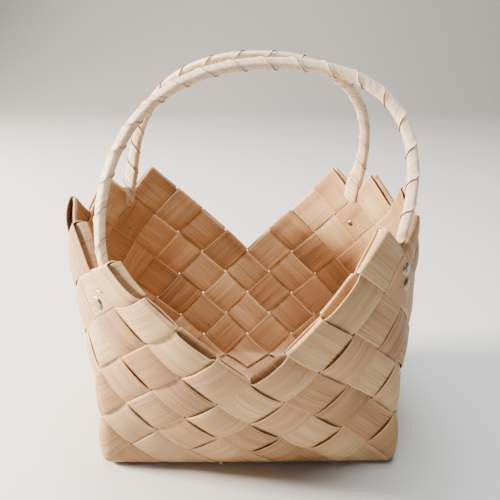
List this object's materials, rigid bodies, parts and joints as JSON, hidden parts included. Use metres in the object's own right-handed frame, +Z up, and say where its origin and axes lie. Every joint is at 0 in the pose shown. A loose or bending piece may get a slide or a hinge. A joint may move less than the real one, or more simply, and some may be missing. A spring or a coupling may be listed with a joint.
{
  "type": "splint basket",
  "caption": "Rectangular basket plaited on the diagonal from wide wood splints, with a folded zigzag rim notched deep at front and back, and paired wrapped bow handles.",
  "frame": {"origin": "under the middle of the basket, level with the underside of its base", "axes": "+Z up, -Y towards the front with the riveted right corner, +X to the right seen from the front"},
  "size_m": [0.254, 0.2052, 0.2836],
  "materials": {
    "splint_light": "bare split wood, light brown",
    "splint_warm": "bare split wood, warm brown",
    "splint_pale": "bare split wood, pale",
    "bow_core_wood": "bare bent wood",
    "bow_wrap_wood": "thin pale shaving, bare",
    "rivet_metal": "dull domed rivet",
    "staple_metal": "dull wire"
  },
  "bodies": {
    "root": {"splint_a_1": "splint_warm", "splint_a_2": "splint_pale", "splint_a_3": "splint_light", "splint_a_4": "splint_warm", "splint_a_5": "splint_pale", "splint_a_6": "splint_light", "splint_a_7": "splint_warm", "splint_a_8": "splint_pale", "splint_b_1": "splint_pale", "splint_b_2": "splint_light", "splint_b_3": "splint_warm", "splint_b_4": "splint_pale", "splint_b_5": "splint_light", "splint_b_6": "splint_warm", "splint_b_7": "splint_pale", "splint_b_8": "splint_light", "front_bow_core": "bow_core_wood", "front_bow_wrap": "bow_wrap_wood", "back_bow_core": "bow_core_wood", "back_bow_wrap": "bow_wrap_wood", "rivet_front_right_upper": "rivet_metal", "rivet_front_right_lower": "rivet_metal", "rivet_front_left": "rivet_metal", "rivet_back_right": "rivet_metal", "rivet_back_left": "rivet_metal", "staple_front_left": "staple_metal", "staple_back_right": "staple_metal", "staple_back_left": "staple_metal"}
  },
  "joints": []
}
